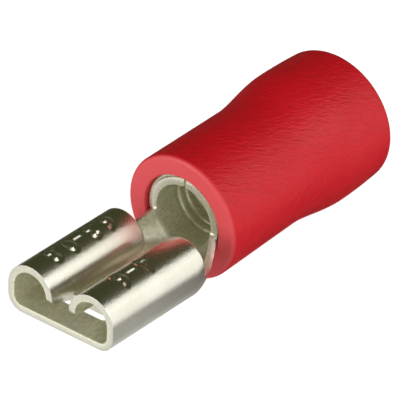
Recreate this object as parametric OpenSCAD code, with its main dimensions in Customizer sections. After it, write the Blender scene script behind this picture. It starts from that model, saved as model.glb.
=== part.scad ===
// Insulated push-on terminal for a 6.3 mm flat tab.
// Millimetres. The origin is on the axis of the wire barrel, at the barrel's front edge.
// +Y runs from the tab socket towards the wire entry, +X is across the socket, +Z is up,
// away from the socket's floor.

/* [Sheet] */
// Thickness of the stamped sheet
sheet_t = 0.4; // [0.3:0.05:0.45]

/* [Tab socket] */
// Width across the two rolled sides
socket_w = 6.76; // [6.6:0.02:7.2]
// Height from the underside of the floor to the top of the rolls
socket_h = 2.86; // [2.7:0.02:3.1]
// Length of the rolled part
socket_len = 7; // [6:0.1:8]
// Outer radius where the floor turns up into a side
corner_r = 0.9; // [0.7:0.05:1.1]
// Height of the lips' lower edge over the underside of the floor
lip_z = 1.18; // [1:0.02:1.3]
// Rounding of the lips' corners at both ends
lip_corner_r = 0.4; // [0.2:0.05:0.6]
// Tilt of the socket: its mouth is tipped up from the line of the barrel
socket_tilt = 2; // [0:0.5:3]

/* [Floor window] */
// Distance from the mouth to the window
window_y = 1.62; // [1.2:0.02:2.5]
// Length of the window along the socket
window_len = 0.8; // [0.5:0.05:1.5]
// Width of the window across the floor
window_w = 3; // [2:0.1:3.6]
// Corner radius of the window
window_r = 0.3; // [0.1:0.05:0.35]

/* [Wire barrel] */
// Inner radius of the barrel
bore_r = 1.75; // [1.6:0.05:1.8]
// Length of the barrel
barrel_len = 6.3; // [5.5:0.1:6.8]
// Distance from the rolled part of the socket to the barrel
neck_len = 2.375; // [2:0.05:3]
// Length of the rolled part under which the floor and the corners already narrow
neck_lead = 0.5; // [0:0.05:0.8]
// How far round the barrel's underside the neck reaches, each way from the bottom
neck_angle = 82; // [70:1:88]
// How much less it reaches round half way along
neck_dip = 9; // [0:1:15]
// Height of the upright part of the neck's sides where they leave the socket
neck_wall = 0.17; // [0:0.01:0.3]
// Width of the butt seam along the top of the barrel
seam_w = 0.08; // [0.05:0.01:0.15]
// Number of grip grooves pressed in the bore
groove_count = 3; // [1:1:5]
// Distance from the barrel's front edge to the first groove
groove_y = 1.55; // [1:0.05:2]
// Spacing of the grooves
groove_pitch = 0.56; // [0.5:0.02:0.8]
// Width of a groove
groove_w = 0.24; // [0.15:0.01:0.35]
// Depth of a groove
groove_d = 0.1; // [0.05:0.01:0.15]

/* [Support sleeve] */
// Wall thickness of the thin sleeve round the barrel
ferrule_t = 0.22; // [0.15:0.01:0.25]
// Distance from the barrel's front edge to the sleeve's front edge
ferrule_y = 0.08; // [0:0.02:0.3]
// Inner radius of the sleeve's wide end
ferrule_wide_r = 2.64; // [2.4:0.02:2.8]
// Length of the sleeve
ferrule_len = 11.1; // [10:0.1:11.6]

/* [Insulation] */
// Position of the insulation's front face along the barrel's axis
jacket_y = -0.2; // [-0.6:0.05:0]
// Length of the insulation
jacket_len = 12.54; // [12:0.02:13.5]
// Outer radius at the front
jacket_front_r = 3.45; // [3.2:0.01:3.6]
// Outer radius at the waist, where the wide end begins
jacket_waist_r = 3.39; // [3.2:0.01:3.6]
// Outer radius of the wide end
jacket_wide_r = 3.81; // [3.6:0.01:4]
// Outer radius at the rear edge
jacket_rear_r = 3.68; // [3.5:0.01:4]
// Distance from the front face to the start of the flare
flare_y = 5.9; // [5.5:0.05:6.5]
// Length of the flare
flare_len = 3.65; // [2.5:0.05:4]
// Rounding of the front outer edge
front_round = 0.25; // [0.1:0.05:0.4]
// Rounding of the rear outer edge
rear_round = 0.4; // [0.2:0.05:0.5]
// Bevel round the wire entry
mouth_bevel = 0.25; // [0.1:0.05:0.4]

/* [Hidden] */
$fn = 96;

// A little overlap for cuts, the reach of a cut that goes right through, and the depth to
// which the neck runs into its neighbours
eps = 0.01;
through = 1;
neck_lap = 0.12;
// Width of the small notch where the corners of the seam are rounded off
seam_notch = 0.24;
// What is left of the upright part of the neck's sides where they meet the barrel
neck_rim = 0.04;

// Steps along the neck and along the flares, and round a half section or a rounded edge
NECK_STEPS = 14;
FLARE_STEPS = 14;
ARC_STEPS = 12;

// Socket frame: x across, y from the mouth, z up from the underside of the floor
roll_r = socket_h / 2;
roll_x = socket_w / 2 - roll_r;
barrel_r = bore_r + sheet_t;
// The pivot of the tilt lies on the barrel's axis, over the front face of the insulation
pivot_y = socket_len + neck_len + jacket_y;
axis_z = 2.17;

ferrule_r = barrel_r + ferrule_t;
flare_start = jacket_y + flare_y;
flare_end = flare_start + flare_len;

// Half of a smooth step from 0 to 1
function smooth(u) = u <= 0 ? 0 : u >= 1 ? 1 : u * u * (3 - 2 * u);
function mix(a, b, u) = a + (b - a) * u;
// Radius that widens from r0 to r1 along the flare
function flare(y, r0, r1) = mix(r0, r1, smooth((y - flare_start) / flare_len));

// ---------------------------------------------------------------- placing

// Turns a shape that stands on +Z so that it lies along +Y
module along_y() {
    rotate([-90, 0, 0]) children();
}

// Revolves a section drawn as [radius, y] round the Y axis
module around_y() {
    rotate([90, 0, 0]) mirror([0, 0, 1]) rotate_extrude() children();
}

// Extrudes a section drawn in x and z along +Y
module extrude_y(len) {
    translate([0, len, 0]) rotate([90, 0, 0]) linear_extrude(len) children();
}

// Places the socket frame in front of the barrel, with its tilt
module at_socket() {
    translate([0, jacket_y, 0]) rotate([-socket_tilt, 0, 0]) translate([0, -pivot_y, -axis_z])
        children();
}

module both_sides() {
    children();
    mirror([1, 0, 0]) children();
}

// ---------------------------------------------------------------- socket

// One side's floor, corner and upright wall, filled in, and inset by t
module side_fill(t) {
    x1 = socket_w / 2;
    translate([x1 - corner_r, corner_r]) circle(corner_r - t);
    translate([0, t]) square([x1 - corner_r, roll_r - t]);
    translate([0, corner_r]) square([x1 - t, roll_r - corner_r]);
}

// Section of the right half of the socket: floor, side, and the roll down to its lip
module socket_section() {
    difference() {
        side_fill(0);
        side_fill(sheet_t);
    }
    intersection() {
        translate([roll_x, roll_r]) difference() {
            circle(roll_r);
            circle(roll_r - sheet_t);
        }
        union() {
            translate([0, roll_r]) square([socket_w, roll_r]);
            translate([0, lip_z]) square([roll_x, roll_r]);
        }
    }
}

// Rounds off the front corner of a lip, so that a tab slides in easily
module lip_corner() {
    r = lip_corner_r;
    translate([0, -eps, lip_z - eps]) difference() {
        cube([roll_x, r + eps, r + eps]);
        translate([-eps, r + eps, r + eps]) rotate([0, 90, 0]) cylinder(h = roll_x + 2 * eps, r = r);
    }
}

module floor_window() {
    translate([-window_w / 2, window_y, -through]) linear_extrude(2 * through) {
        for (x = [window_r, window_w - window_r], y = [window_r, window_len - window_r])
            translate([x, y]) circle(window_r);
        translate([window_r, 0]) square([window_w - 2 * window_r, window_len]);
        translate([0, window_r]) square([window_w, window_len - 2 * window_r]);
    }
}

module socket() {
    difference() {
        extrude_y(socket_len) both_sides() socket_section();
        both_sides() {
            lip_corner();
            translate([0, socket_len, 0]) mirror([0, 1, 0]) lip_corner();
        }
        // The floor and the lower corners end where the neck begins
        translate([-socket_w, socket_len - neck_lead, -through])
            cube([2 * socket_w, neck_lead + through, through + corner_r]);
        floor_window();
    }
}

// ---------------------------------------------------------------- neck

// Radius of the neck's turned-up sides and half-width of its flat floor, at u from 0 to 1
function neck_radius(u) = mix(corner_r, barrel_r, pow(u, 1.5));
function neck_flat(u) = mix(socket_w / 2, barrel_r, pow(u, 1.5)) - neck_radius(u);
// Underside of the neck: level with the tilted floor in front, with the barrel behind
function neck_under(y, u) =
    mix(-axis_z * cos(socket_tilt) - (y - jacket_y) * sin(socket_tilt), -barrel_r, smooth(u));

// Right half of the section at u, from the middle of the floor to the edge, inset by t
function neck_half(y, u, t) = let(
    flat = neck_flat(u), r = neck_radius(u), z0 = neck_under(y, u),
    wall = mix(neck_wall, neck_rim, smooth(2 * u)),
    turn = mix(90, neck_angle, smooth(2 * u)) - neck_dip * sin(180 * u))
    concat([[0, y, z0 + t]],
        [for (i = [0:ARC_STEPS]) let(a = turn * i / ARC_STEPS)
            [flat + (r - t) * sin(a), y, z0 + r - (r - t) * cos(a)]],
        [[flat + (r - t) * sin(turn) + wall * cos(turn), y,
          z0 + r - (r - t) * cos(turn) + wall * sin(turn)]]);

function flip_x(points) = [for (i = [len(points) - 1:-1:1]) [-points[i][0], points[i][1], points[i][2]]];

// Closed ring of the neck's section: the outside from left to right, then the inside back
function neck_ring(u, t0, t1) = let(
    y = mix(-neck_len - neck_lead, 0, u),
    outer = neck_half(y, min(1, max(0, u)), t0),
    inner = neck_half(y, min(1, max(0, u)), t1),
    whole = concat(flip_x(outer), outer),
    back = concat(flip_x(inner), inner))
    concat(whole, [for (i = [len(back) - 1:-1:0]) back[i]]);

// Skin between rings that all have the same number of points, closed at both ends
module loft(rings) {
    n = len(rings[0]);
    half = n / 2;
    last = len(rings) - 1;
    sides = [for (k = [0:last - 1], i = [0:n - 1]) let(j = (i + 1) % n)
        each [[k * n + i, (k + 1) * n + j, (k + 1) * n + i],
              [k * n + i, k * n + j, (k + 1) * n + j]]];
    front = [for (i = [0:half - 2])
        each [[i, n - 2 - i, i + 1], [i, n - 1 - i, n - 2 - i]]];
    rear = [for (f = front) [for (p = [f[2], f[1], f[0]]) p + last * n]];
    polyhedron([for (r = rings) each r], concat(sides, front, rear), convexity = 4);
}

// Lofted from the socket's floor and corners to the underside of the barrel.
// Both ends run a little way into their neighbours, just inside the sheet.
module neck() {
    lap = neck_lap / (neck_len + neck_lead);
    loft(concat(
        [for (u = [-lap, 0]) neck_ring(u, eps, sheet_t - eps)],
        [for (k = [1:NECK_STEPS - 1]) neck_ring(k / NECK_STEPS, 0, sheet_t)],
        [for (u = [1, 1 + lap]) neck_ring(u, eps, sheet_t - eps)]));
}

// ---------------------------------------------------------------- barrel

module barrel() {
    difference() {
        along_y() cylinder(h = barrel_len, r = barrel_r);
        translate([0, -through, 0]) along_y() cylinder(h = barrel_len + 2 * through, r = bore_r);
        for (k = [0:groove_count - 1])
            translate([0, groove_y + k * groove_pitch, 0])
                along_y() cylinder(h = groove_w, r = bore_r + groove_d);
        // Butt seam, and the small notch where its corners are rounded off
        translate([-seam_w / 2, -through, 0]) cube([seam_w, barrel_len + 2 * through, 2 * barrel_r]);
        rotate([0, 0, 45]) translate([-seam_notch / 2, -seam_notch / 2, 0])
            cube([seam_notch, seam_notch, 2 * barrel_r]);
    }
}

// ---------------------------------------------------------------- pieces

// One piece of tin-plated brass sheet: socket, neck and wire barrel
module terminal() {
    color([0.78, 0.77, 0.72]) union() {
        at_socket() socket();
        neck();
        barrel();
    }
}

// Thin metal sleeve round the barrel, which widens behind it to hold the wire's insulation
module support_sleeve() {
    y1 = ferrule_y + ferrule_len;
    steps = [for (i = [0:FLARE_STEPS]) mix(flare_start, flare_end, i / FLARE_STEPS)];
    outside = [for (y = steps) [flare(y, ferrule_r, ferrule_wide_r + ferrule_t), y]];
    inside = [for (i = [FLARE_STEPS:-1:0]) [flare(steps[i], barrel_r, ferrule_wide_r), steps[i]]];
    color([0.75, 0.74, 0.7]) around_y()
        polygon(concat(
            [[barrel_r, ferrule_y], [ferrule_r, ferrule_y]], outside,
            [[ferrule_wide_r + ferrule_t, y1], [ferrule_wide_r, y1]], inside));
}

// Outer radius of the insulation at y, before its edges are rounded
function jacket_r(y) = let(d = y - jacket_y, rest = (y - flare_end) / (jacket_y + jacket_len - flare_end))
    y < flare_start ? mix(jacket_front_r, jacket_waist_r, d / flare_y)
    : y < flare_end ? flare(y, jacket_waist_r, jacket_wide_r)
    : mix(jacket_wide_r, jacket_rear_r, rest * rest);

// Quarter round from a face to the side, about a centre at [r, y], from angle a0 to a1
function edge_arc(r, y, radius, a0, a1) = [for (i = [0:ARC_STEPS / 2])
    let(a = mix(a0, a1, 2 * i / ARC_STEPS)) [r + radius * cos(a), y + radius * sin(a)]];

// Tube of soft plastic pressed over the sleeve, with a wide end for the wire
module insulation() {
    y1 = jacket_y + jacket_len;
    front = jacket_y + front_round;
    rear = y1 - rear_round;
    hole = ferrule_wide_r + ferrule_t;
    color([0.75, 0.07, 0.1]) around_y()
        polygon(concat(
            [[ferrule_r, jacket_y]],
            edge_arc(jacket_r(front) - front_round, front, front_round, -90, 0),
            [for (i = [0:FLARE_STEPS]) let(y = mix(flare_start, flare_end, i / FLARE_STEPS)) [jacket_r(y), y]],
            [for (i = [1:3]) let(y = mix(flare_end, rear, i / 4)) [jacket_r(y), y]],
            edge_arc(jacket_r(rear) - rear_round, rear, rear_round, 0, 90),
            [[hole + mouth_bevel, y1], [hole, y1 - mouth_bevel]],
            [for (i = [FLARE_STEPS:-1:0]) let(y = mix(flare_start, flare_end, i / FLARE_STEPS))
                [flare(y, ferrule_r, hole), y]]));
}

terminal();
support_sleeve();
insulation();
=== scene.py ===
"""Insulated push-on terminal for a flat tab: finely meshed pieces, finishes and a plain studio.

Run as a script it builds everything at once. The sizes and colours stand in the scene's properties,
and each piece has its own operator. The frame is the packed model's: metres, +Y towards the wire entry.
"""

import math

import bpy
import numpy as np
from bpy.props import FloatProperty, FloatVectorProperty, IntProperty, PointerProperty
from mathutils import Matrix, Vector


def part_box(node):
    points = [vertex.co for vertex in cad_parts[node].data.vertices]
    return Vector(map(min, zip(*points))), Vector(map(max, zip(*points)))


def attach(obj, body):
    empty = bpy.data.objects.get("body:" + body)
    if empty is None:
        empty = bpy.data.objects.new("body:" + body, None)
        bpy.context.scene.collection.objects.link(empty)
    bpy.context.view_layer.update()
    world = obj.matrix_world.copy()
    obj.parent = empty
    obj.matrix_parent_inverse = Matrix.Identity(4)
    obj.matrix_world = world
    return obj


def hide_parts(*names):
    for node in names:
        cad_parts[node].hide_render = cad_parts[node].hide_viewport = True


bl_info = {
    "name": "Push-on terminal",
    "version": (1, 0, 0),
    "blender": (4, 5, 0),
    "location": "3D View > Sidebar > Terminal",
    "description": "Builds an insulated push-on terminal with its finishes and a studio",
    "category": "Object",
}

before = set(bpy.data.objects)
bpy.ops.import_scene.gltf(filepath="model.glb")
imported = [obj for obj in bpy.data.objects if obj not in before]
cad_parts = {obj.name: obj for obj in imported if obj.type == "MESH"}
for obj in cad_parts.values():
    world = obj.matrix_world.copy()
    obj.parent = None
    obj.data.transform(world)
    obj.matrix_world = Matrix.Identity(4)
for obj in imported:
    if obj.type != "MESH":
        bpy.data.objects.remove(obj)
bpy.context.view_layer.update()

MM = 0.001
INSULATION_LOW, INSULATION_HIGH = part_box("insulation")
SLEEVE_LOW, SLEEVE_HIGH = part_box("support_sleeve")
TERMINAL_LOW, TERMINAL_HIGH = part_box("terminal")
SKIN = 0.004 * MM  # how far the fine pieces stay inside the plain ones


# ---------------------------------------------------------------- sizes and colours

def length(name, description, default):
    return FloatProperty(name=name, description=description, default=default * MM, min=0,
                         unit="LENGTH", precision=5)


def colour(name, description, default):
    return FloatVectorProperty(name=name, description=description, default=default, size=3,
                               min=0, max=1, subtype="COLOR")


def share(name, description, default, top=1.0):
    return FloatProperty(name=name, description=description, default=default, min=0, max=top)


class TerminalSizes(bpy.types.PropertyGroup):
    """The stamped sheet: socket, neck and wire barrel."""

    sheet: length("Sheet", "Thickness of the sheet", 0.4)
    width: length("Socket width", "Width across the two rolled sides", 6.76)
    height: length("Socket height", "Height from under the floor to the top of the rolls", 2.86)
    reach: length("Socket length", "Length of the rolled part", 7.0)
    corner: length("Corner", "Outer radius between the floor and a side", 0.9)
    lip: length("Lip height", "Height of the lips' lower edge over the underside of the floor", 1.18)
    lip_corner: length("Lip corner", "Rounding of the lips' corners", 0.4)
    tilt: FloatProperty(name="Tilt", description="Tilt of the socket to the barrel",
                        default=math.radians(2), subtype="ANGLE")
    axis_height: length("Axis height", "Height of the barrel's axis over the socket's underside", 2.17)
    window_start: length("Window start", "Distance from the mouth to the window", 1.62)
    window_reach: length("Window length", "Length of the window along the socket", 0.8)
    window_width: length("Window width", "Width of the window across the floor", 3.0)
    window_corner: length("Window corner", "Corner radius of the window", 0.3)
    bore: length("Barrel bore", "Inner radius of the barrel", 1.75)
    barrel: length("Barrel length", "Length of the barrel", 6.3)
    neck: length("Neck length", "Distance from the rolls to the barrel", 2.375)
    neck_lead: length("Neck lead", "Length of the rolls under which the floor already narrows", 0.5)
    neck_turn: FloatProperty(name="Neck turn", description="How far round the barrel the neck reaches",
                             default=math.radians(82), subtype="ANGLE")
    neck_dip: FloatProperty(name="Neck dip", description="How much less it reaches half way along",
                            default=math.radians(9), subtype="ANGLE")
    neck_wall: length("Neck wall", "Upright part of the neck's sides at the socket", 0.17)
    seam: length("Seam", "Width of the butt seam", 0.08)
    groove_start: length("First groove", "Distance from the barrel's front edge to the first groove", 1.55)
    groove_pitch: length("Groove spacing", "Spacing of the grip grooves", 0.56)
    groove_width: length("Groove width", "Width of a grip groove", 0.24)
    groove_depth: length("Groove depth", "Depth of a grip groove", 0.1)
    grooves: IntProperty(name="Grooves", description="Number of grip grooves", default=3, min=0)
    stamp_depth: length("Stamp depth", "Depth of the stamped figures", 0.12)
    edge_round: length("Edge rounding", "Rounding of the sheared edges", 0.1)


class TubeSizes(bpy.types.PropertyGroup):
    """The support sleeve and the insulation."""

    sleeve_wall: length("Sleeve wall", "Wall thickness of the support sleeve", 0.22)
    sleeve_wide: length("Sleeve wide end", "Inner radius of the support sleeve's wide end", 2.64)
    front: length("Front radius", "Outer radius of the insulation at its front", 3.45)
    waist: length("Waist radius", "Outer radius where the wide end begins", 3.39)
    rear: length("Rear radius", "Outer radius at the rear edge", 3.68)
    flare_start: length("Flare start", "Distance from the front face to the flare", 5.9)
    flare_reach: length("Flare length", "Length of the flare", 3.65)
    front_round: length("Front rounding", "Rounding of the front outer edge", 0.25)
    rear_round: length("Rear rounding", "Rounding of the rear outer edge", 0.4)
    mouth_bevel: length("Mouth bevel", "Bevel round the wire entry", 0.25)


class Finishes(bpy.types.PropertyGroup):
    """Colours and surface detail."""

    tin: colour("Tin", "Bright tin plating", (0.80, 0.775, 0.69))
    tin_dull: colour("Dull tin", "Tin plating where it is dull", (0.70, 0.68, 0.58))
    tin_inner: colour("Inner tin", "Duller plating inside the rolls and the barrel", (0.95, 0.94, 0.74))
    # Paler colour of the insulation at its ends: a painted sheen.
    plastic_end_sheen: colour("Cut plastic", "Insulation at its cut ends", (0.80, 0.085, 0.10))
    plastic: colour("Plastic", "Insulation", (0.66, 0.004, 0.014))
    crinkle: share("Crinkle", "Strength of the insulation's crinkle", 0.6)


class StudioSettings(bpy.types.PropertyGroup):
    """Camera and light."""

    azimuth: FloatProperty(name="Azimuth", description="Camera's direction round the object",
                           default=math.radians(39.438), subtype="ANGLE")
    elevation: FloatProperty(name="Elevation", description="Camera's height as an angle",
                             default=math.radians(33.749), subtype="ANGLE")
    roll: FloatProperty(name="Roll", description="Camera's roll", default=math.radians(0.117), subtype="ANGLE")
    distance: length("Distance", "Distance from the camera to its target", 235.0)
    target: FloatVectorProperty(name="Target", description="Point that the camera looks at", size=3,
                                default=(0.3638 * MM, 0.8425 * MM, 0.7 * MM), subtype="XYZ", unit="LENGTH",
                                precision=5)
    lens: FloatProperty(name="Lens", description="Focal length", default=424.35, unit="CAMERA")
    key: FloatProperty(name="Key light", description="Strength of the large light", default=1.18, min=0)
    fill: FloatProperty(name="Fill light", description="Strength of the light at the right", default=1.2, min=0)
    front: FloatProperty(name="Front light", description="Strength of the low front light", default=6.0, min=0)
    sheen: FloatProperty(name="Sheen", description="Strength of the small light over the wide end", default=3.0,
                         min=0)
    low: FloatProperty(name="Low light", description="Strength of the low light under the camera", default=3.5, min=0)
    sky: FloatProperty(name="Sky", description="Strength of the room's own light", default=0.055, min=0)


SETTINGS = {
    "terminal_sizes": TerminalSizes,
    "tube_sizes": TubeSizes,
    "finishes": Finishes,
    "studio": StudioSettings,
}


# ---------------------------------------------------------------- mesh helpers

def smooth(u):
    u = np.clip(u, 0, 1)
    return u * u * (3 - 2 * u)


def mix(a, b, u):
    return a + (b - a) * u


def ride_and_name(name, mesh, material, node):
    """Makes the object for a piece that stands for a CAD node."""
    piece = bpy.data.objects.new(name, mesh)
    bpy.context.scene.collection.objects.link(piece)
    mesh.materials.append(material)
    mesh.shade_smooth()
    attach(piece, "root")
    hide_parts(node)
    return piece


def mesh_from(name, points, faces):
    mesh = bpy.data.meshes.new(name)
    mesh.from_pydata([tuple(p) for p in points], [], [tuple(int(i) for i in f) for f in faces])
    mesh.validate()
    return mesh


def add_value(mesh, name, values):
    """Stores one number per point, for the finish to read."""
    attribute = mesh.attributes.new(name, "FLOAT", "POINT")
    attribute.data.foreach_set("value", np.asarray(values, np.float32))


def walk(segments, s, start_height):
    """Place and heading after going s along lines and left-hand arcs from the middle of the floor.

    segments are (length, radius) pairs, with radius None for a line. Returns x, z and heading.
    """
    s = np.asarray(s, float)
    x, z = np.zeros_like(s), np.full_like(s, start_height)
    heading = np.zeros_like(s)
    begin = 0.0
    for reach, radius in segments:
        d = np.clip(s - begin, 0, reach)
        begin += reach
        if radius is None:
            x, z = x + d * np.cos(heading), z + d * np.sin(heading)
            continue
        turned = heading + d / radius
        x = x + radius * (np.sin(turned) - np.sin(heading))
        z = z - radius * (np.cos(turned) - np.cos(heading))
        heading = turned
    return x, z, heading


def face_grid(index):
    """Quads of a grid of point numbers, each corner in order."""
    a, b = index[:-1, :-1], index[1:, :-1]
    c, d = index[1:, 1:], index[:-1, 1:]
    return np.stack([a, b, c, d], -1).reshape(-1, 4)


def weld(points, faces, digits=8):
    """Joins points that lie at the same place, and drops faces that collapse."""
    keys = np.round(points * 10 ** digits).astype(np.int64)
    _, first, number = np.unique(keys, axis=0, return_index=True, return_inverse=True)
    faces = number.reshape(-1)[faces]
    whole = np.array([len(set(f)) == len(f) for f in faces.tolist()])
    return first, faces[whole]


def point_normals(points, faces):
    """Unit normal at each point, from the faces round it."""
    p = points[faces]
    n = np.cross(p[:, 2] - p[:, 0], p[:, 3] - p[:, 1])
    total = np.zeros_like(points)
    for k in range(4):
        np.add.at(total, faces[:, k], n)
    return total / np.linalg.norm(total, axis=1)[:, None]


def rim_edges(faces):
    """Edges that only one face has, in that face's direction."""
    sides = np.concatenate([faces[:, [k, (k + 1) % 4]] for k in range(4)])
    known = {(a, b) for a, b in sides.tolist()}
    return np.array([(a, b) for a, b in sides.tolist() if (b, a) not in known])


# ---------------------------------------------------------------- stamped figures

ARC = "arc"
FIGURES = {
    "0": [(ARC, 0.3, 0.5, 0.3, 0.5, 0, 360)],
    "3": [(ARC, 0.27, 0.75, 0.27, 0.25, -90, 150), (ARC, 0.27, 0.26, 0.3, 0.26, -150, 90)],
    "4": [(0.45, 0.0, 0.45, 1.0), (0.45, 1.0, 0.0, 0.32), (0.0, 0.32, 0.62, 0.32)],
    "6": [(ARC, 0.3, 0.3, 0.3, 0.3, 0, 360), (ARC, 0.55, 0.38, 0.55, 0.62, 95, 185)],
    "8": [(ARC, 0.3, 0.74, 0.25, 0.25, 0, 360), (ARC, 0.3, 0.26, 0.3, 0.27, 0, 360)],
    "-": [(0.05, 0.48, 0.5, 0.48)],
    ".": [(0.1, 0.04, 0.16, 0.04)],
}
FIGURE_WIDTH = {".": 0.42, "-": 0.85}
STROKE_STEPS = 24
STROKE_WIDTH = 0.2 * MM
STAMP_HEIGHT = 0.92 * MM
# Roll (left is -1), text, distance of its first figure from the mouth, spacing
STAMPED_LINES = (
    (-1, "6.3-0.8", 5.95 * MM, 0.98),
    (1, "4-6", 4.3 * MM, 1.1),
)


def stroke_points(stroke):
    """Points along one stroke of a figure, in figure heights."""
    u = np.linspace(0, 1, STROKE_STEPS)
    if stroke[0] == ARC:
        _, x, y, rx, ry, a0, a1 = stroke
        angle = np.radians(mix(a0, a1, u))
        return np.stack([x + rx * np.cos(angle), y + ry * np.sin(angle)], -1)
    x0, y0, x1, y1 = stroke
    return np.stack([mix(x0, x1, u), mix(y0, y1, u)], -1)


def line_of_figures(text, start, height, spacing=1.0):
    """Points along the strokes of a line of figures that begins at start = (along, across)."""
    found, at = [], 0.0
    for sign in text:
        for stroke in FIGURES[sign]:
            found.append((stroke_points(stroke) + (at, 0)) * height + start)
        at += FIGURE_WIDTH.get(sign, 0.95) * spacing
    return np.concatenate(found)


def pressed_by(places, strokes, half_width, soft):
    """How deep each place is pressed by a stamp, from 0 to 1."""
    nearest = np.full(len(places), np.inf)
    for p in strokes:
        nearest = np.minimum(nearest, np.hypot(places[:, 0] - p[0], places[:, 1] - p[1]))
    return 1 - smooth((nearest - half_width + soft) / (2 * soft))


# ---------------------------------------------------------------- terminal

LEAD_ROWS = 7  # rows of the neck that lie under the rolls
STAMP_BAND = 0.6 * MM  # half the width of the finely meshed band for the stamped figures


class SheetForm:
    """The terminal's sheet as one surface in the middle of its thickness."""

    def __init__(self, sizes):
        self.k = sizes
        self.half = sizes.sheet / 2
        self.roll = sizes.height / 2
        self.barrel_mid = sizes.bore + self.half
        self.barrel_out = sizes.bore + sizes.sheet
        self.front = INSULATION_LOW.y
        self.floor_half = sizes.width / 2 - sizes.corner
        self.past_half = math.asin((self.roll - sizes.lip) / (self.roll - self.half))
        self.socket = [
            (self.floor_half, None),
            (math.pi / 2 * (sizes.corner - self.half), sizes.corner - self.half),
            (self.roll - sizes.corner, None),
            ((math.pi + self.past_half) * (self.roll - self.half), self.roll - self.half),
        ]
        self.edge_at_socket = self.socket[0][0] + self.socket[1][0] + sizes.neck_wall
        upright = sum(r[0] for r in self.socket[:3])
        self.top = upright + math.pi / 2 * (self.roll - self.half)
        self.edge_at_barrel = sizes.neck_turn * self.barrel_mid

    # places

    def socket_point(self, s, y, side):
        """Point on the socket's middle surface, s from the floor's middle and y from the mouth."""
        x, z, _ = walk(self.socket, s, self.half)
        return self.tilted(side * x, y, z)

    def tilted(self, x, y, z):
        """From the socket's own frame to the model's."""
        k = self.k
        cos, sin = math.cos(k.tilt), math.sin(k.tilt)
        y = y - (k.reach + k.neck + self.front)
        z = z - k.axis_height
        return np.stack(np.broadcast_arrays(x, self.front + y * cos + z * sin, z * cos - y * sin), -1)

    def neck_point(self, t, u, side):
        """Point on the neck's middle surface, t from the floor's middle to the edge, u along it.

        The neck begins under the rear end of the rolls, where the floor already narrows.
        """
        k = self.k
        radius = mix(k.corner, self.barrel_out, u ** 1.5)
        flat = mix(k.width / 2, self.barrel_out, u ** 1.5) - radius
        turn = mix(math.pi / 2, k.neck_turn, smooth(2 * u)) - k.neck_dip * math.sin(math.pi * u)
        wall = k.neck_wall * (1 - smooth(2 * u))
        ring = [(flat, None), (turn * (radius - self.half), radius - self.half), (wall, None)]
        x, z, _ = walk(ring, t * sum(r[0] for r in ring), self.half)
        start = self.tilted(0.0, k.reach - k.neck_lead, 0.0)
        under = mix(start, np.array([0, 0, -self.barrel_out]), u)
        under[2] = mix(start[2] - math.sin(k.tilt) * (under[1] - start[1]), -self.barrel_out, smooth(u))
        lean = k.tilt * (1 - smooth(u))
        return np.stack([side * x, under[1] + z * math.sin(lean), under[2] + z * math.cos(lean)], -1)

    def barrel_point(self, s, y, side):
        """Point on the barrel's middle surface, s round from the bottom and y from the front edge."""
        angle = s / self.barrel_mid
        x, z = np.sin(angle) * self.barrel_mid, -np.cos(angle) * self.barrel_mid
        return np.stack(np.broadcast_arrays(side * x, y, z), -1)

    # grids

    def rows(self):
        """Rows along the socket, the neck and the barrel."""
        k = self.k
        window_end = k.window_start + k.window_reach
        grip = k.groove_start + k.grooves * k.groove_pitch
        socket = np.concatenate([
            np.linspace(0, k.window_start, 30)[:-1],
            np.linspace(k.window_start, window_end, 17)[:-1],
            np.linspace(window_end, k.reach - k.neck_lead, 84),
        ])
        under_rolls = k.neck_lead / (k.neck + k.neck_lead)
        neck = np.concatenate([np.linspace(0, under_rolls, LEAD_ROWS), np.linspace(under_rolls, 1, 27)[1:]])
        barrel = np.concatenate([
            np.linspace(0, k.groove_start - k.groove_width, 7)[:-1],
            np.linspace(k.groove_start - k.groove_width, grip, 54)[:-1],
            np.linspace(grip, k.barrel, 10),
        ])
        return socket, neck, barrel

    def build(self):
        """Points, faces, and for each point its (s, y) on the socket, or nothing elsewhere."""
        k = self.k
        socket, neck, barrel = self.rows()
        window = k.window_width / 2 / self.edge_at_socket
        across = np.concatenate([np.linspace(0, window, 13)[:-1], np.linspace(window, 1, 24)])
        grids = []
        for side in (-1, 1):
            strip = [self.socket_point(across * self.edge_at_socket, y, side) for y in socket]
            strip += [self.neck_point(across, u, side) for u in neck[1:-1]]
            strip += [self.barrel_point(across * self.edge_at_barrel, y, side) for y in barrel]
            grids.append((np.array(strip), side, across * self.edge_at_socket, socket))
            grids.append(self.roll_grid(socket, neck[1:LEAD_ROWS], side))
            grids.append(self.barrel_grid(barrel, side))
        points, faces, flat_places, base = [], [], [], 0
        for grid, side, s, y in grids:
            n, m = grid.shape[:2]
            index = np.arange(n * m).reshape(n, m) + base
            quads = face_grid(index)
            faces.append(quads if side > 0 else quads[:, ::-1])
            points.append(grid.reshape(-1, 3))
            place = np.full((n, m, 2), np.nan)
            if s is not None:
                place[:len(y)] = np.stack(np.meshgrid(s * side, y), -1)
            flat_places.append(place.reshape(-1, 2))
            base += n * m
        points = np.concatenate(points)
        faces = np.concatenate(faces)
        flat_places = np.concatenate(flat_places)
        first, faces = weld(points, faces)
        return points[first], faces, flat_places[first]

    def rounded(self, from_edge, radius):
        """How far a sheet's end is cut back at a distance from its edge, so that its corner is round."""
        d = np.clip(from_edge, 0, radius)
        return radius - np.sqrt(np.maximum(radius ** 2 - (radius - d) ** 2, 0))

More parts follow.
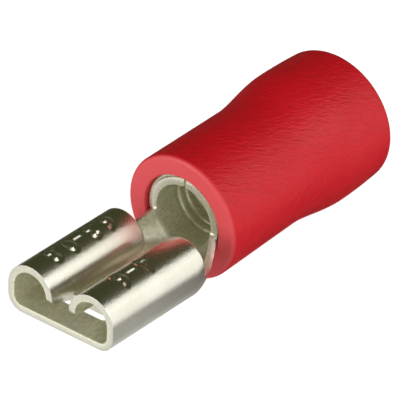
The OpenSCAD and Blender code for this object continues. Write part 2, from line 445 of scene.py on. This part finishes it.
    def roll_grid(self, rows, lead, side):
        """The upright wall and the roll. Its rear end follows the neck's edge inwards at the bottom."""
        k = self.k
        end = sum(r[0] for r in self.socket)
        low, high = self.top - STAMP_BAND, self.top + STAMP_BAND
        lip = end - k.lip_corner * (1 - np.sin(np.linspace(0, math.pi / 2, 9)))
        s = np.concatenate([
            np.linspace(self.edge_at_socket, low, 26)[:-1],
            np.linspace(low, high, 38)[:-1],
            np.linspace(high, lip[0], 20)[:-1],
            lip,
        ])
        along = np.concatenate([rows, mix(k.reach - k.neck_lead, k.reach, lead / lead[-1])])
        cut = self.rounded(end - s, k.lip_corner)
        y = cut[None, :] + along[:, None] / k.reach * (k.reach - 2 * cut[None, :])
        grid = self.socket_point(np.broadcast_to(s, y.shape), y, side)
        fade = 1 - smooth((s - s[0]) / (k.corner * 1.5))
        for row, u in enumerate(lead, len(rows)):
            pull = self.neck_point(np.ones(1), u, side)[0] - grid[row, 0]
            grid[row] += fade[:, None] * pull
        return grid, side, s, along

    def barrel_grid(self, rows, side):
        k = self.k
        end = math.pi * self.barrel_mid - k.seam / 2
        corner = 0.16 * MM
        body = np.linspace(self.edge_at_barrel, end - corner, 40)[:-1]
        edge = end - corner * (1 - np.sin(np.linspace(0, math.pi / 2, 7)))
        s = np.concatenate([body, edge])
        cut = self.rounded(end - s, corner)
        y = cut[None, :] + rows[:, None] / k.barrel * (k.barrel - cut[None, :])
        return self.barrel_point(np.broadcast_to(s, y.shape), y, side), side, None, rows


def cut_window(k, points, faces, places):
    """Takes the window out of the floor, and rounds its corners."""
    low = np.array([-k.window_width / 2, k.window_start])
    high = np.array([k.window_width / 2, k.window_start + k.window_reach])
    slack = 1e-7
    inside = np.all((places > low - slack) & (places < high + slack), axis=1)
    middle = places[faces].mean(axis=1)
    gone = np.all((middle > low) & (middle < high), axis=1)
    r = k.window_corner
    moved = places.copy()
    for corner, out in ((low, (-1, -1)), (high, (1, 1)),
                        (np.array([low[0], high[1]]), (-1, 1)), (np.array([high[0], low[1]]), (1, -1))):
        out = np.array(out)
        centre = corner - out * r
        d = (corner - places) * out
        near = inside & np.all(d < r, axis=1) & (np.min(np.abs(d), axis=1) < slack)
        along_x = np.abs(d[:, 1]) <= np.abs(d[:, 0])
        angle = np.where(along_x, math.pi / 4 * (1 + d[:, 0] / r), math.pi / 4 * (1 - d[:, 1] / r))
        arc = centre + out * r * np.stack([np.cos(angle), np.sin(angle)], -1)
        moved[near] = arc[near]
    return faces[~gone], moved, inside


def thicken(points, faces, half, outside, inside):
    """Gives the middle surface its thickness, with relief on each side, and closes its rims."""
    normals = point_normals(points, faces)
    n = len(points)
    both = np.concatenate([points + normals * (half + outside)[:, None],
                           points - normals * (half + inside)[:, None]])
    rims = rim_edges(faces)
    rim_faces = np.stack([rims[:, 1], rims[:, 0], rims[:, 0] + n, rims[:, 1] + n], -1)
    return both, np.concatenate([faces, faces[:, ::-1] + n, rim_faces]), rims


class OBJECT_OT_terminal_sheet(bpy.types.Operator):
    """Builds the terminal: socket, neck and wire barrel, with its stamped figures and grip grooves"""

    bl_idname = "object.terminal_sheet"
    bl_label = "Terminal"

    def execute(self, context):
        k = context.scene.terminal_sizes
        form = SheetForm(k)
        points, faces, places = form.build()
        faces, moved, inside = cut_window(k, points, faces, places)
        shift = np.any(np.abs(moved - places) > 0, axis=1) & inside
        s = np.abs(moved[shift, 0])
        points[shift] = form.socket_point(s, moved[shift, 1], np.sign(moved[shift, 0]))
        used = np.unique(faces)
        number = np.full(len(points), -1)
        number[used] = np.arange(len(used))
        points, places, faces = points[used], places[used], number[faces]

        outside = -k.stamp_depth * self.stamps(k, form, places)
        ungrooved = np.zeros(len(points))
        for i in range(k.grooves):
            middle = k.groove_start + i * k.groove_pitch + k.groove_width / 2
            d = np.abs(points[:, 1] - middle)
            ungrooved += 1 - smooth((d - k.groove_width * 0.3) / (k.groove_width * 0.4))
        in_barrel = points[:, 1] > 0
        inner = np.where(in_barrel, -k.groove_depth * ungrooved, 0)
        solid, solid_faces, rims = thicken(points, faces, k.sheet / 2 - SKIN, outside, inner)
        mesh = mesh_from("terminal_sheet", solid, solid_faces)
        rim = np.zeros(len(points))
        rim[rims.ravel()] = 1
        add_value(mesh, "rim", np.tile(rim, 2))
        add_value(mesh, "inner", np.repeat((0.0, 1.0), len(points)))
        pressed = np.concatenate([-outside / k.stamp_depth, ungrooved * 0])
        add_value(mesh, "pressed", pressed)
        piece = ride_and_name("terminal_sheet", mesh, tinned_metal(context.scene.finishes), "terminal")
        bevel = piece.modifiers.new("sheared_edges", "BEVEL")
        bevel.width = k.edge_round
        bevel.segments = 2
        bevel.limit_method = "ANGLE"
        bevel.angle_limit = math.radians(60)
        return {"FINISHED"}

    def stamps(self, k, form, places):
        """How deep the stamped figures press each point, from 0 to 1."""
        known = ~np.isnan(places[:, 0])
        deep = np.zeros(len(places))
        for side, text, start, spacing in STAMPED_LINES:
            strokes = line_of_figures(text, (0, 0), STAMP_HEIGHT, spacing)
            strokes[:, 1] -= STAMP_HEIGHT / 2
            on_side = known & (np.sign(places[:, 0]) == side) & (np.abs(places[:, 0]) > form.edge_at_socket)
            local = np.stack([
                start - places[on_side, 1],
                (np.abs(places[on_side, 0]) - form.top) * -side,
            ], -1)
            deep[on_side] += pressed_by(local, strokes, STROKE_WIDTH / 2, STROKE_WIDTH / 3)
        return np.clip(deep, 0, 1)


# ---------------------------------------------------------------- tubes

def revolve(profile, count):
    """Points and faces of a closed profile of (radius, y) turned about the Y axis."""
    profile = np.asarray(profile)
    angle = np.linspace(0, 2 * math.pi, count, endpoint=False)
    x = profile[:, 0, None] * np.sin(angle)
    z = profile[:, 0, None] * np.cos(angle)
    y = np.broadcast_to(profile[:, 1, None], x.shape)
    points = np.stack([x, y, z], -1).reshape(-1, 3)
    index = np.arange(len(profile) * count).reshape(len(profile), count)
    index = np.concatenate([index, index[:1]])
    index = np.concatenate([index, index[:, :1]], axis=1)
    return points, face_grid(index)[:, ::-1]


def arc(r, y, radius, a0, a1, count=9):
    """Points of an arc round (r, y) from angle a0 to a1, in degrees."""
    a = np.radians(np.linspace(a0, a1, count))
    return np.stack([r + radius * np.cos(a), y + radius * np.sin(a)], -1)


def run(radius_at, y0, y1, spacing):
    """Points along y with the radius that a function gives."""
    y = np.linspace(y0, y1, max(2, int(abs(y1 - y0) / spacing)))
    return np.stack([np.array([radius_at(v) for v in y]), y], -1)


class TubeForm:
    """Radii of the insulation and of the support sleeve along the axis."""

    def __init__(self, sizes, terminal):
        self.k = sizes
        self.y0, self.y1 = INSULATION_LOW.y, INSULATION_HIGH.y
        self.wide = INSULATION_HIGH.z
        self.flare_start = self.y0 + sizes.flare_start
        self.flare_end = self.flare_start + sizes.flare_reach
        self.barrel_out = terminal.bore + terminal.sheet
        self.narrow_hole = self.barrel_out + sizes.sleeve_wall
        self.wide_hole = sizes.sleeve_wide + sizes.sleeve_wall

    def flared(self, y, r0, r1):
        return mix(r0, r1, smooth((y - self.flare_start) / self.k.flare_reach))

    def outside(self, y):
        k = self.k
        if y < self.flare_start:
            return mix(k.front, k.waist, (y - self.y0) / k.flare_start)
        if y < self.flare_end:
            return self.flared(y, k.waist, self.wide)
        rest = (y - self.flare_end) / (self.y1 - self.flare_end)
        return mix(self.wide, k.rear, rest * rest)

    def hole(self, y):
        return self.flared(y, self.narrow_hole, self.wide_hole)

    def sleeve_inside(self, y):
        return self.flared(y, self.barrel_out, self.k.sleeve_wide)


class OBJECT_OT_insulation(bpy.types.Operator):
    """Builds the plastic insulation with its wide end and rounded edges"""

    bl_idname = "object.terminal_insulation"
    bl_label = "Insulation"

    def execute(self, context):
        k = context.scene.tube_sizes
        form = TubeForm(k, context.scene.terminal_sizes)
        inner_round = 0.08 * MM
        front, rear = form.y0 + k.front_round, form.y1 - k.rear_round
        profile = np.concatenate([
            arc(form.outside(front) - k.front_round, front, k.front_round, -90, 0, 10)[:-1],
            run(form.outside, front, rear, 0.12 * MM)[:-1],
            arc(form.outside(rear) - k.rear_round, rear, k.rear_round, 0, 90, 10),
            np.array([[form.wide_hole + k.mouth_bevel, form.y1],
                      [form.wide_hole, form.y1 - k.mouth_bevel]]),
            run(form.hole, form.y1 - k.mouth_bevel - 0.05 * MM, form.y0 + inner_round, 0.3 * MM)[:-1],
            arc(form.narrow_hole + inner_round, form.y0 + inner_round, inner_round, 180, 270, 6),
            np.linspace([form.narrow_hole + 2 * inner_round, form.y0],
                        [form.outside(front) - 1.1 * k.front_round, form.y0], 5),
        ])
        points, faces = revolve(profile, 240)
        mesh = mesh_from("insulation_tube", points, faces)
        from_front = points[:, 1] - form.y0
        from_rear = form.y1 - points[:, 1]
        nearest_end = np.minimum(from_front, from_rear)
        # Marks the ends: they get smoother creases, and a paler colour that is a painted sheen.
        add_value(mesh, "cut", 1 - smooth(nearest_end / (0.8 * k.front_round)))
        ride_and_name("insulation_tube", mesh, crinkled_plastic(context.scene.finishes), "insulation")
        return {"FINISHED"}


class OBJECT_OT_support_sleeve(bpy.types.Operator):
    """Builds the thin metal sleeve between the barrel and the insulation"""

    bl_idname = "object.terminal_support_sleeve"
    bl_label = "Support sleeve"

    def execute(self, context):
        k = context.scene.tube_sizes
        form = TubeForm(k, context.scene.terminal_sizes)
        y0, y1 = SLEEVE_LOW.y, SLEEVE_HIGH.y
        r = k.sleeve_wall * 0.45
        middle = form.barrel_out + k.sleeve_wall / 2
        wide_middle = k.sleeve_wide + k.sleeve_wall / 2
        rim = k.sleeve_wall / 2
        profile = np.concatenate([
            arc(middle, y0 + rim, rim - SKIN, 180, 360, 11),
            run(lambda y: form.hole(y) - SKIN, y0 + rim + 0.1 * MM, y1 - rim - 0.1 * MM, 0.25 * MM),
            arc(wide_middle, y1 - rim, rim - SKIN, 0, 180, 11),
            run(lambda y: form.sleeve_inside(y) + SKIN, y1 - rim - 0.1 * MM, y0 + rim + 0.1 * MM, 0.25 * MM),
        ])
        points, faces = revolve(profile, 160)
        mesh = mesh_from("support_tube", points, faces)
        add_value(mesh, "rim", np.zeros(len(points)))
        add_value(mesh, "inner", np.ones(len(points)))
        add_value(mesh, "pressed", np.zeros(len(points)))
        ride_and_name("support_tube", mesh, tinned_metal(context.scene.finishes), "support_sleeve")
        return {"FINISHED"}


# ---------------------------------------------------------------- finishes

def new_group(name, inputs, outputs):
    """An empty shader group with number inputs (name, default) and outputs (name, kind)."""
    group = bpy.data.node_groups.new(name, "ShaderNodeTree")
    for label, kind, default in inputs:
        socket = group.interface.new_socket(label, in_out="INPUT", socket_type=kind)
        if default is not None:
            socket.default_value = default
    for label, kind in outputs:
        group.interface.new_socket(label, in_out="OUTPUT", socket_type=kind)
    return group, group.nodes.new("NodeGroupInput"), group.nodes.new("NodeGroupOutput")


def put(tree, kind, inputs=None, **settings):
    """Adds a node, sets its settings, and fills or links its inputs."""
    node = tree.nodes.new(kind)
    for key, value in settings.items():
        setattr(node, key, value)
    for key, value in (inputs or {}).items():
        if isinstance(value, bpy.types.NodeSocket):
            tree.links.new(value, node.inputs[key])
        else:
            node.inputs[key].default_value = value
    return node


def grain_group():
    """Stretched noise: a value from 0 to 1 that varies over the surface."""
    name = "stretched_grain"
    if name in bpy.data.node_groups:
        return bpy.data.node_groups[name]
    group, start, end = new_group(
        name,
        [("Scale", "NodeSocketFloat", 1000.0), ("Stretch", "NodeSocketVector", (1, 1, 1)),
         ("Detail", "NodeSocketFloat", 4.0), ("Low", "NodeSocketFloat", 0.3), ("High", "NodeSocketFloat", 0.7)],
        [("Value", "NodeSocketFloat")])
    place = put(group, "ShaderNodeTexCoord")
    stretched = put(group, "ShaderNodeVectorMath", {0: place.outputs["Object"], 1: start.outputs["Stretch"]},
                    operation="MULTIPLY")
    noise = put(group, "ShaderNodeTexNoise", {
        "Vector": stretched.outputs[0], "Scale": start.outputs["Scale"],
        "Detail": start.outputs["Detail"], "Roughness": 0.6})
    spread = put(group, "ShaderNodeMapRange", {
        "Value": noise.outputs["Fac"], "From Min": start.outputs["Low"], "From Max": start.outputs["High"]})
    group.links.new(spread.outputs["Result"], end.inputs["Value"])
    return group


def grain(tree, scale, stretch=(1, 1, 1), detail=4.0, low=0.3, high=0.7):
    node = tree.nodes.new("ShaderNodeGroup")
    node.node_tree = grain_group()
    for key, value in (("Scale", scale), ("Stretch", stretch), ("Detail", detail), ("Low", low), ("High", high)):
        node.inputs[key].default_value = value
    return node.outputs["Value"]


def new_material(name):
    material = bpy.data.materials.new(name)
    material.use_nodes = True
    tree = material.node_tree
    return material, tree, tree.nodes["Principled BSDF"]


def tinned_metal(finishes):
    """Satin tin plating over brass sheet."""
    name = "tinned_metal"
    if name in bpy.data.materials:
        return bpy.data.materials[name]
    material, tree, shader = new_material(name)
    link = tree.links.new
    mottle = grain(tree, 700.0, (1, 0.6, 1), 4.0, 0.3, 0.7)
    fine = grain(tree, 7000.0, (1, 0.5, 1), 3.0, 0.3, 0.7)
    tint = put(tree, "ShaderNodeMix", {"Factor": mottle}, data_type="RGBA")
    tint.inputs["A"].default_value = (*finishes.tin_dull, 1)
    tint.inputs["B"].default_value = (*finishes.tin, 1)
    inner = put(tree, "ShaderNodeAttribute", attribute_name="inner").outputs["Fac"]
    sides = put(tree, "ShaderNodeMix", {"Factor": inner}, data_type="RGBA")
    link(tint.outputs["Result"], sides.inputs["A"])
    speckle = put(tree, "ShaderNodeMix", {"Factor": fine}, data_type="RGBA")
    speckle.inputs["A"].default_value = (*[v * 0.72 for v in finishes.tin_inner], 1)
    speckle.inputs["B"].default_value = (*finishes.tin_inner, 1)
    link(speckle.outputs["Result"], sides.inputs["B"])
    link(sides.outputs["Result"], shader.inputs["Base Color"])
    metal = put(tree, "ShaderNodeMapRange", {"Value": inner, "To Min": 1.0, "To Max": 0.6})
    link(metal.outputs["Result"], shader.inputs["Metallic"])
    rough = put(tree, "ShaderNodeMapRange", {"Value": mottle, "To Min": 0.30, "To Max": 0.25})
    duller = put(tree, "ShaderNodeMath", {0: inner, 1: 0.16, 2: rough.outputs["Result"]}, operation="MULTIPLY_ADD")
    link(duller.outputs[0], shader.inputs["Roughness"])
    bump = put(tree, "ShaderNodeBump", {"Height": fine, "Strength": 0.8, "Distance": 0.0035 * MM})
    link(bump.outputs["Normal"], shader.inputs["Normal"])
    return material


def wrinkle_group():
    """Fine creases that run along a screw line: a height from 0 to 1."""
    name = "screwed_wrinkles"
    if name in bpy.data.node_groups:
        return bpy.data.node_groups[name]
    group, start, end = new_group(
        name,
        [("Scale", "NodeSocketFloat", 1000.0), ("Twist", "NodeSocketFloat", 100.0), ("Stretch", "NodeSocketFloat", 0.3)],
        [("Height", "NodeSocketFloat")])
    place = put(group, "ShaderNodeTexCoord")
    parts = put(group, "ShaderNodeSeparateXYZ", {0: place.outputs["Object"]})
    angle = put(group, "ShaderNodeMath", {0: parts.outputs["Y"], 1: start.outputs["Twist"]}, operation="MULTIPLY")
    turned = put(group, "ShaderNodeVectorRotate", {"Vector": place.outputs["Object"], "Angle": angle.outputs[0]},
                 rotation_type="Y_AXIS")
    squeeze = put(group, "ShaderNodeCombineXYZ", {"X": 1.0, "Y": start.outputs["Stretch"], "Z": 1.0})
    stretched = put(group, "ShaderNodeVectorMath", {0: turned.outputs[0], 1: squeeze.outputs[0]}, operation="MULTIPLY")
    noise = put(group, "ShaderNodeTexNoise", {
        "Vector": stretched.outputs[0], "Scale": start.outputs["Scale"], "Detail": 2.0, "Roughness": 0.55,
        "Distortion": 0.6})
    spread = put(group, "ShaderNodeMapRange", {"Value": noise.outputs["Fac"], "From Min": 0.32, "From Max": 0.68})
    group.links.new(spread.outputs["Result"], end.inputs["Height"])
    return group


def wrinkles(tree, scale, twist, stretch):
    node = tree.nodes.new("ShaderNodeGroup")
    node.node_tree = wrinkle_group()
    for key, value in (("Scale", scale), ("Twist", twist), ("Stretch", stretch)):
        node.inputs[key].default_value = value
    return node.outputs["Height"]


def crinkled_plastic(finishes):
    """Soft plastic with fine creases, which lean one way on top and the other way at the sides."""
    name = "crinkled_plastic"
    if name in bpy.data.materials:
        return bpy.data.materials[name]
    material, tree, shader = new_material(name)
    link = tree.links.new
    upper = wrinkles(tree, 5600.0, -165.0, 0.36)
    lower = wrinkles(tree, 5600.0, 150.0, 0.36)
    fine = grain(tree, 15000.0, (1, 1, 1), 2.0, 0.3, 0.7)
    patches = grain(tree, 300.0, (1, 1, 1), 3.0, 0.35, 0.65)
    cut = put(tree, "ShaderNodeAttribute", attribute_name="cut").outputs["Fac"]
    place = put(tree, "ShaderNodeTexCoord")
    parts = put(tree, "ShaderNodeSeparateXYZ", {0: place.outputs["Object"]})
    level = put(tree, "ShaderNodeMath", {0: patches, 1: 1.5 * MM, 2: parts.outputs["Z"]}, operation="MULTIPLY_ADD")
    share_upper = put(tree, "ShaderNodeMapRange", {"Value": level.outputs[0], "From Min": 0.8 * MM, "From Max": 2.4 * MM})
    both = put(tree, "ShaderNodeMix", {"Factor": share_upper.outputs["Result"], "A": lower, "B": upper})
    height = put(tree, "ShaderNodeMath", {0: fine, 1: 0.2, 2: both.outputs["Result"]}, operation="MULTIPLY_ADD")
    strength = put(tree, "ShaderNodeMapRange", {"Value": cut, "To Min": finishes.crinkle, "To Max": 0.1})
    bump = put(tree, "ShaderNodeBump", {"Height": height.outputs[0], "Strength": strength.outputs["Result"],
                                        "Distance": 0.03 * MM})
    link(bump.outputs["Normal"], shader.inputs["Normal"])
    # Darker in the creases' hollows and paler on their ridges, following the crease height: painted shade and painted
    # highlight.
    tint = put(tree, "ShaderNodeMix", {"Factor": both.outputs["Result"]}, data_type="RGBA")
    tint.inputs["A"].default_value = (*[v * 0.93 for v in finishes.plastic], 1)
    tint.inputs["B"].default_value = (*[v * 1.07 for v in finishes.plastic], 1)
    # Paler at both ends: painted sheen.
    ends_with_painted_sheen = put(tree, "ShaderNodeMix", {"Factor": cut}, data_type="RGBA")
    link(tint.outputs["Result"], ends_with_painted_sheen.inputs["A"])
    ends_with_painted_sheen.inputs["B"].default_value = (*finishes.plastic_end_sheen, 1)
    link(ends_with_painted_sheen.outputs["Result"], shader.inputs["Base Color"])
    rough = put(tree, "ShaderNodeMapRange", {"Value": patches, "To Min": 0.42, "To Max": 0.5})
    link(rough.outputs["Result"], shader.inputs["Roughness"])
    shader.inputs["Specular IOR Level"].default_value = 0.35
    return material


# ---------------------------------------------------------------- studio

def softbox(name, place, aim, width, depth, strength, tint=(1, 1, 1)):
    """A rectangular soft light that faces a point."""
    light = bpy.data.lights.new(name, "AREA")
    light.shape = "RECTANGLE"
    light.size, light.size_y = width, depth
    light.energy = strength * width * depth * math.pi
    light.color = tint
    lamp = bpy.data.objects.new(name, light)
    lamp.location = place
    lamp.rotation_mode = "QUATERNION"
    lamp.rotation_quaternion = (Vector(place) - Vector(aim)).to_track_quat("Z", "Y")
    bpy.context.scene.collection.objects.link(lamp)
    return lamp


def direction(azimuth, elevation):
    """Unit vector towards an azimuth (0 is -Y, 90 is +X) and an elevation, in radians."""
    return Vector((math.sin(azimuth) * math.cos(elevation), -math.cos(azimuth) * math.cos(elevation),
                   math.sin(elevation)))


LAMP_DISTANCE = 0.42


class SCENE_OT_terminal_studio(bpy.types.Operator):
    """Builds the floor, the lights, the sky and the camera"""

    bl_idname = "scene.terminal_studio"
    bl_label = "Studio"

    def execute(self, context):
        studio = context.scene.studio
        self.camera(context, studio)
        self.floor(context)
        middle = Vector((0, 2 * MM, 0))
        for name, azimuth, elevation, width, height, strength in (
                ("key", 126, 21, 0.50, 0.42, studio.key),
                ("fill", 80, 45, 0.40, 0.40, studio.fill),
                ("sheen", 113, 38, 0.15, 0.13, studio.sheen),
                ("front", -25, 14, 0.26, 0.26, studio.front),
                ("low", 44, 9, 0.22, 0.12, studio.low)):
            place = middle + direction(math.radians(azimuth), math.radians(elevation)) * LAMP_DISTANCE
            softbox(name, place, middle, width, height, strength)
        self.sky(context, studio)
        context.scene.view_settings.view_transform = "Standard"
        return {"FINISHED"}

    def camera(self, context, studio):
        data = bpy.data.cameras.new("camera")
        data.lens = studio.lens
        data.clip_start, data.clip_end = 0.01, 10
        camera = bpy.data.objects.new("camera", data)
        back = direction(studio.azimuth, studio.elevation)
        camera.location = Vector(studio.target) + back * studio.distance
        camera.rotation_mode = "QUATERNION"
        turn = back.to_track_quat("Z", "Y").to_matrix() @ Matrix.Rotation(studio.roll, 3, "Z")
        camera.rotation_quaternion = turn.to_quaternion()
        context.scene.collection.objects.link(camera)
        context.scene.camera = camera

    def floor(self, context):
        """A pale floor on which the insulation lies, with its front edge and its wide end. It glows evenly white for
        the camera. In reflections it is painted dark, and it glows only in two pools, at the front left and at the
        right, which are painted reflections for the metal.
        """
        half = 1.5
        form = TubeForm(context.scene.tube_sizes, context.scene.terminal_sizes)
        y = np.linspace(form.y0 + form.k.front_round, form.y1 - form.k.rear_round, 200)
        under = -np.array([form.outside(v) for v in y])
        front, wide = 0, np.argmin(under)
        slope = (under[wide] - under[front]) / (y[wide] - y[front])
        level = np.min(under - slope * y) - 0.02 * MM
        corners = [(x, y, level + slope * y) for x, y in ((-half, -half), (half, -half), (half, half), (-half, half))]
        mesh = mesh_from("floor", corners, [(0, 1, 2, 3)])
        floor = bpy.data.objects.new("floor", mesh)
        context.scene.collection.objects.link(floor)
        material, tree, shader = new_material("floor")
        shader.inputs["Roughness"].default_value = 0.9
        rays = tree.nodes.new("ShaderNodeLightPath")
        # In reflections the floor's colour drops from 0.8 to 0.15: a painted dark reflection.
        floor_darker_in_reflections = put(tree, "ShaderNodeMix", {"Factor": rays.outputs["Is Glossy Ray"]}, data_type="RGBA")
        floor_darker_in_reflections.inputs["A"].default_value = (0.8, 0.8, 0.8, 1)
        floor_darker_in_reflections.inputs["B"].default_value = (0.15, 0.15, 0.14, 1)
        tree.links.new(floor_darker_in_reflections.outputs["Result"], shader.inputs["Base Color"])
        # Two pools, at the front left and to the right, where the floor glows for glossy rays only: painted
        # reflections.
        place = put(tree, "ShaderNodeTexCoord")
        parts = put(tree, "ShaderNodeSeparateXYZ", {0: place.outputs["Object"]})
        reflection_pool_ahead = put(tree, "ShaderNodeMapRange", {"Value": parts.outputs["Y"], "From Min": 3 * MM, "From Max": -5 * MM})
        reflection_pool_left = put(tree, "ShaderNodeMapRange", {"Value": parts.outputs["X"], "From Min": 6 * MM, "From Max": 1 * MM,
                                                  "To Min": 0.4, "To Max": 1.0})
        reflection_pool_right = put(tree, "ShaderNodeMapRange", {"Value": parts.outputs["X"], "From Min": 7 * MM,
                                                 "From Max": 14 * MM, "To Max": 1.3})
        front_left_reflection_pool = put(tree, "ShaderNodeMath", {0: reflection_pool_ahead.outputs["Result"], 1: reflection_pool_left.outputs["Result"]},
                         operation="MULTIPLY")
        painted_reflection_pools = put(tree, "ShaderNodeMath", {0: front_left_reflection_pool.outputs[0], 1: reflection_pool_right.outputs["Result"]},
                    operation="MAXIMUM")
        painted_reflection = put(tree, "ShaderNodeMath", {0: rays.outputs["Is Glossy Ray"], 1: painted_reflection_pools.outputs[0]},
                       operation="MULTIPLY")
        painted_reflection_strength = put(tree, "ShaderNodeMath", {0: painted_reflection.outputs[0], 1: 0.72}, operation="MULTIPLY")
        # Glow of 0.8 for the camera, an evenly white backdrop, plus the painted reflection pools for glossy rays.
        backdrop_and_painted_reflection_glow = put(tree, "ShaderNodeMath", {0: rays.outputs["Is Camera Ray"], 1: 0.8, 2: painted_reflection_strength.outputs[0]},
                   operation="MULTIPLY_ADD")
        shader.inputs["Emission Color"].default_value = (1, 1, 1, 1)
        tree.links.new(backdrop_and_painted_reflection_glow.outputs[0], shader.inputs["Emission Strength"])
        mesh.materials.append(material)

    def sky(self, context, studio):
        world = bpy.data.worlds.new("room")
        context.scene.world = world
        world.use_nodes = True
        background = world.node_tree.nodes["Background"]
        background.inputs["Color"].default_value = (0.93, 1, 0.4, 1)
        background.inputs["Strength"].default_value = studio.sky


class VIEW3D_PT_terminal(bpy.types.Panel):
    """Lists the sizes and the pieces"""

    bl_label = "Push-on terminal"
    bl_space_type = "VIEW_3D"
    bl_region_type = "UI"
    bl_category = "Terminal"

    def draw(self, context):
        for operator in OPERATORS:
            self.layout.operator(operator.bl_idname)
        for name, group in SETTINGS.items():
            box = self.layout.box()
            box.label(text=group.__doc__.strip())
            for key in group.__annotations__:
                box.prop(getattr(context.scene, name), key)


OPERATORS = (
    OBJECT_OT_terminal_sheet,
    OBJECT_OT_support_sleeve,
    OBJECT_OT_insulation,
    SCENE_OT_terminal_studio,
)
CLASSES = (*SETTINGS.values(), *OPERATORS, VIEW3D_PT_terminal)


def register():
    for cls in CLASSES:
        bpy.utils.register_class(cls)
    for name, group in SETTINGS.items():
        setattr(bpy.types.Scene, name, PointerProperty(type=group))


def unregister():
    for name in SETTINGS:
        delattr(bpy.types.Scene, name)
    for cls in reversed(CLASSES):
        bpy.utils.unregister_class(cls)


def main():
    register()
    bpy.ops.object.terminal_sheet()
    bpy.ops.object.terminal_support_sleeve()
    bpy.ops.object.terminal_insulation()
    bpy.ops.scene.terminal_studio()
    bpy.context.view_layer.update()


if __name__ == "__main__":
    main()
